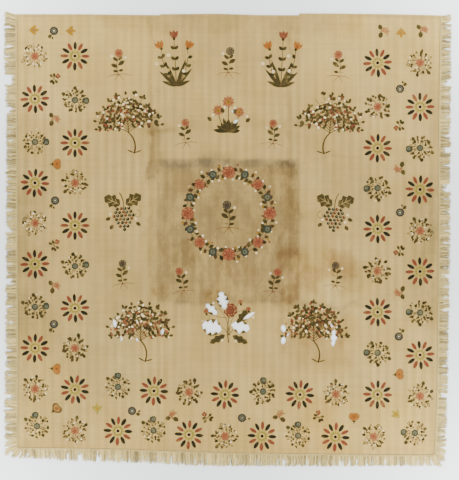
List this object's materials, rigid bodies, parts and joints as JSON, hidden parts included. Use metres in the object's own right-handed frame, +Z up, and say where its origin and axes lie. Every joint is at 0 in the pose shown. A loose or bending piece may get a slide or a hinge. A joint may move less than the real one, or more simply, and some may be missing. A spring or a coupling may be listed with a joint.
{
  "type": "stenciled coverlet",
  "caption": "Square fringed cotton bed coverlet of seamed loom widths, stenciled with rosettes and sprays, lying flat and face up.",
  "frame": {"origin": "on the surface that the coverlet lies on, under the middle of its outline over the fringe", "axes": "+Z up out of the printed face, +Y towards the hemmed top edge, +X towards the right-hand side fringe"},
  "size_m": [2.2348, 2.268, 0.0036],
  "materials": {
    "cotton_left": "striped cream cotton with stenciled flowers",
    "cotton_centre": "striped cream cotton with stenciled flowers, stained",
    "cotton_right": "striped cream cotton with stenciled flowers",
    "yarn_left": "undyed cotton yarn",
    "yarn_right": "undyed cotton yarn",
    "yarn_foot": "undyed cotton yarn"
  },
  "bodies": {
    "root": {"panel_left": "cotton_left", "panel_centre": "cotton_centre", "panel_right": "cotton_right", "fringe_left": "yarn_left", "fringe_right": "yarn_right", "fringe_foot": "yarn_foot"}
  },
  "joints": []
}
